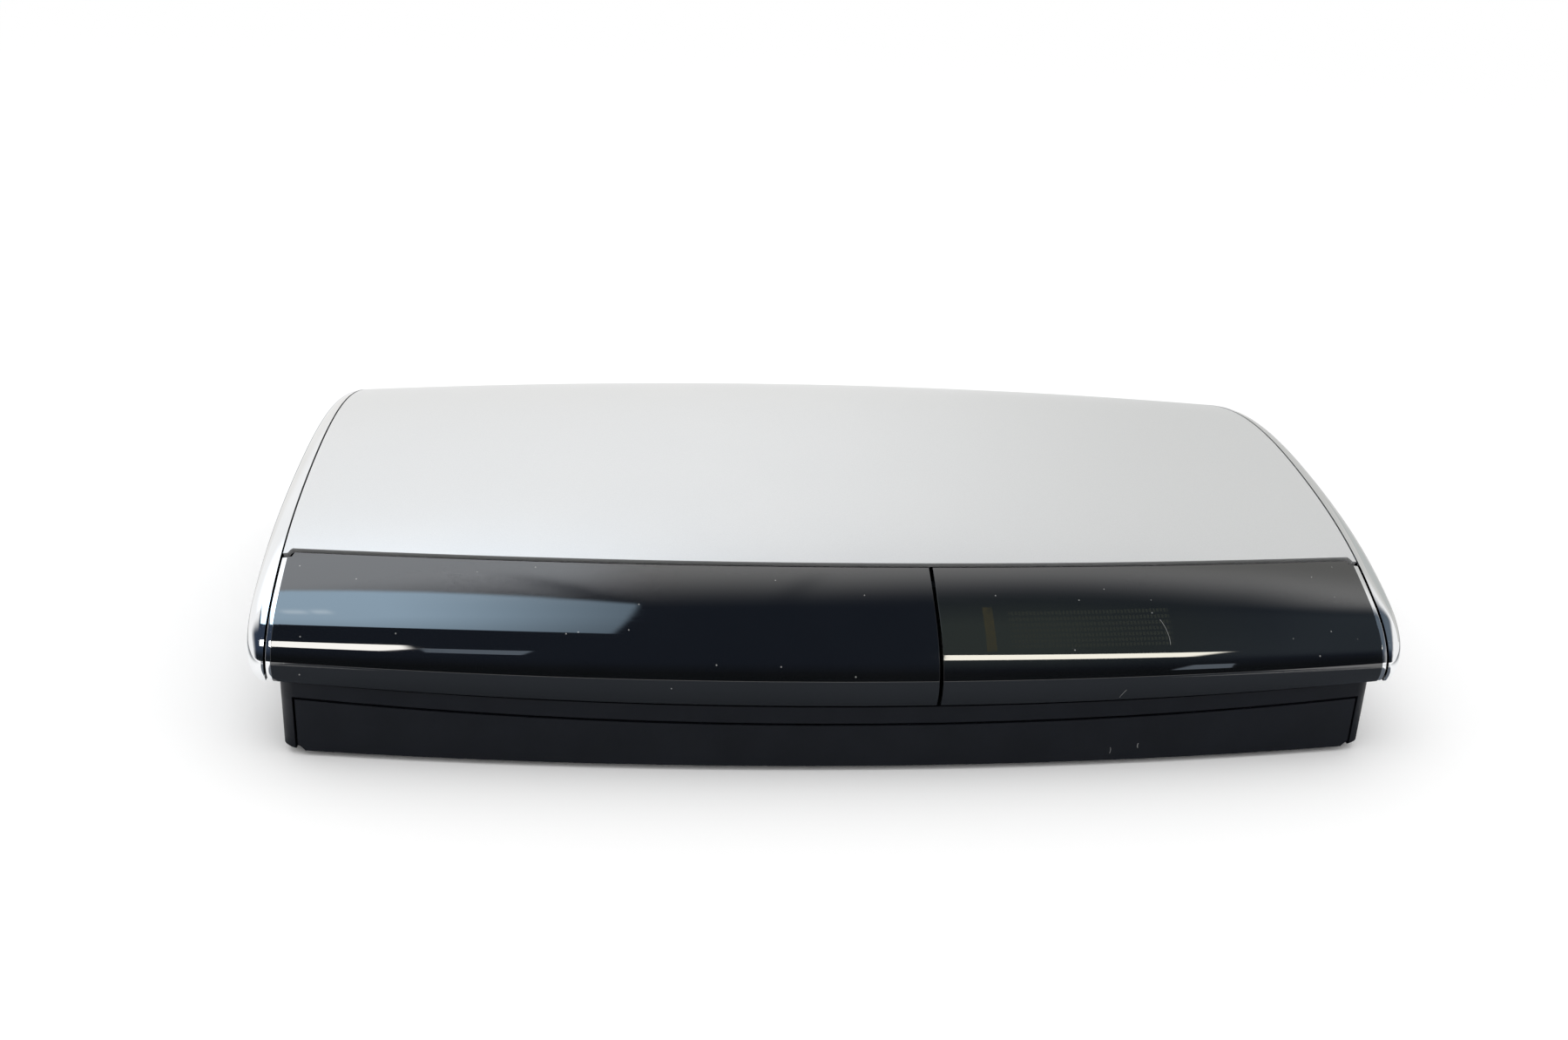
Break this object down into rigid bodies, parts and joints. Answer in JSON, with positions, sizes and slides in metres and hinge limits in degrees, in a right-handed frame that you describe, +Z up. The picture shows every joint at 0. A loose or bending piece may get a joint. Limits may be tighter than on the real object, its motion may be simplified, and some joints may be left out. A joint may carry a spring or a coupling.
{
  "type": "home theater media center",
  "caption": "Low rounded disc player console with a satin metal top, a smoked drawer front that carries a disc tray, and a smoked display window over a black base.",
  "frame": {"origin": "middle of the footprint on the surface that the feet stand on", "axes": "+X to the right seen from the front, +Y to the rear, +Z up"},
  "size_m": [0.396, 0.2651, 0.0885],
  "materials": {
    "silver_cover": "satin",
    "chrome_trim": "polished",
    "smoked_panel": "gloss, smoked",
    "black_plastic": "fine moulded",
    "key_plastic": "satin",
    "rubber": "matte",
    "white_plastic": "smooth",
    "board": "coated",
    "plated_steel": "zinc plated",
    "rear_steel": "fine texture",
    "gold_plate": "plated",
    "insert_plastic": "moulded",
    "component": "moulded",
    "core_steel": "varnished",
    "sink_aluminium": "extruded",
    "tube_glass": "clear, dark inside",
    "lens_glass": "coated",
    "cable": "smooth"
  },
  "bodies": {
    "console": {"antenna_jack": "plated_steel", "base_front_cover": "black_plastic", "base_tray": "black_plastic", "board_capacitors": "component", "board_screws": "plated_steel", "button_board": "board", "case_screws": "plated_steel", "clamp_bridge": "plated_steel", "display_board": "board", "display_tube": "tube_glass", "display_window": "smoked_panel", "drive_belt": "rubber", "drive_bushes": "rubber", "drive_chassis": "black_plastic", "drive_screws": "plated_steel", "heat_sink": "sink_aluminium", "inlet_pins": "plated_steel", "inner_fascia": "black_plastic", "ir_receiver": "component", "left_end_cap": "chrome_trim", "loading_motor": "plated_steel", "main_board": "board", "optical_socket": "black_plastic", "phono_block": "black_plastic", "phono_inserts": "insert_plastic", "phono_sleeves": "gold_plate", "power_board": "board", "power_capacitors": "component", "power_inlet": "black_plastic", "rear_panel": "rear_steel", "ribbon_cable": "cable", "right_end_cap": "chrome_trim", "rubber_feet": "rubber", "signal_chips": "component", "sled_motor": "plated_steel", "sled_rods": "plated_steel", "speaker_socket": "black_plastic", "spindle_motor": "plated_steel", "top_cover": "silver_cover", "transformer": "core_steel", "traverse_plate": "plated_steel", "window_end_strip": "chrome_trim"},
    "tray": {"disc_tray": "black_plastic", "drawer_bracket": "black_plastic", "drawer_front": "smoked_panel", "drawer_end_strip": "chrome_trim"},
    "tray_gear": {"tray_gear": "white_plastic"},
    "pulley_gear": {"pulley_gear": "white_plastic"},
    "motor_pulley": {"motor_pulley": "white_plastic"},
    "turntable": {"turntable": "black_plastic"},
    "disc_clamp": {"disc_clamp": "black_plastic"},
    "pickup": {"pickup_sled": "black_plastic", "objective_lens": "lens_glass"},
    "sled_gear": {"sled_gear": "white_plastic"},
    "button_power": {"button_power": "key_plastic"},
    "button_open": {"button_open": "key_plastic"},
    "button_source": {"button_source": "key_plastic"},
    "button_stop": {"button_stop": "key_plastic"},
    "button_play": {"button_play": "key_plastic"},
    "button_next": {"button_next": "key_plastic"}
  },
  "joints": [
    {"name": "tray_slide", "type": "slide", "parent": "console", "child": "tray", "axis": [0, -1, 0], "range_m": [0, 0.14]},
    {"name": "tray_gear_spin", "type": "hinge", "parent": "console", "child": "tray_gear", "pos_m": [-0.03295, -0.084, 0.03], "axis": [0, 0, 1], "range_deg": [-1004.7, 2]},
    {"name": "pulley_gear_spin", "type": "hinge", "parent": "console", "child": "pulley_gear", "pos_m": [-0.05295, -0.084, 0.028], "axis": [0, 0, 1], "range_deg": [-2, 2341.6]},
    {"name": "motor_pulley_spin", "type": "hinge", "parent": "console", "child": "motor_pulley", "pos_m": [-0.07995, -0.084, 0.026], "axis": [0, 0, 1], "range_deg": [-2, 5850.9]},
    {"name": "turntable_spin", "type": "hinge", "parent": "console", "child": "turntable", "pos_m": [-0.08, -0.04, 0.036], "axis": [0, 0, 1], "continuous": true},
    {"name": "disc_clamp_spin", "type": "hinge", "parent": "console", "child": "disc_clamp", "pos_m": [-0.08, -0.04, 0.043], "axis": [0, 0, 1], "continuous": true},
    {"name": "sled_slide", "type": "slide", "parent": "console", "child": "pickup", "axis": [0, 1, 0], "range_m": [0, 0.034]},
    {"name": "sled_gear_spin", "type": "hinge", "parent": "console", "child": "sled_gear", "pos_m": [-0.11695, -0.004, 0.028], "axis": [0, 0, 1], "range_deg": [-2, 326.7]},
    {"name": "power_press", "type": "slide", "parent": "console", "child": "button_power", "axis": [0, 1, 0], "range_m": [0, 0.0008], "stiffness_N_per_m": 400},
    {"name": "open_press", "type": "slide", "parent": "console", "child": "button_open", "axis": [0, 1, 0], "range_m": [0, 0.0008], "stiffness_N_per_m": 400},
    {"name": "source_press", "type": "slide", "parent": "console", "child": "button_source", "axis": [0, 1, 0], "range_m": [0, 0.0008], "stiffness_N_per_m": 400},
    {"name": "stop_press", "type": "slide", "parent": "console", "child": "button_stop", "axis": [0, 1, 0], "range_m": [0, 0.0008], "stiffness_N_per_m": 400},
    {"name": "play_press", "type": "slide", "parent": "console", "child": "button_play", "axis": [0, 1, 0], "range_m": [0, 0.0008], "stiffness_N_per_m": 400},
    {"name": "next_press", "type": "slide", "parent": "console", "child": "button_next", "axis": [0, 1, 0], "range_m": [0, 0.0008], "stiffness_N_per_m": 400}
  ],
  "couplings": [
    {"joint": "tray_gear_spin", "follows": "tray_slide", "rad_per_m": -125},
    {"joint": "pulley_gear_spin", "follows": "tray_slide", "rad_per_m": 291.67},
    {"joint": "motor_pulley_spin", "follows": "tray_slide", "rad_per_m": 729.17},
    {"joint": "disc_clamp_spin", "follows": "turntable_spin", "ratio": 1},
    {"joint": "sled_gear_spin", "follows": "sled_slide", "rad_per_m": 166.67}
  ]
}
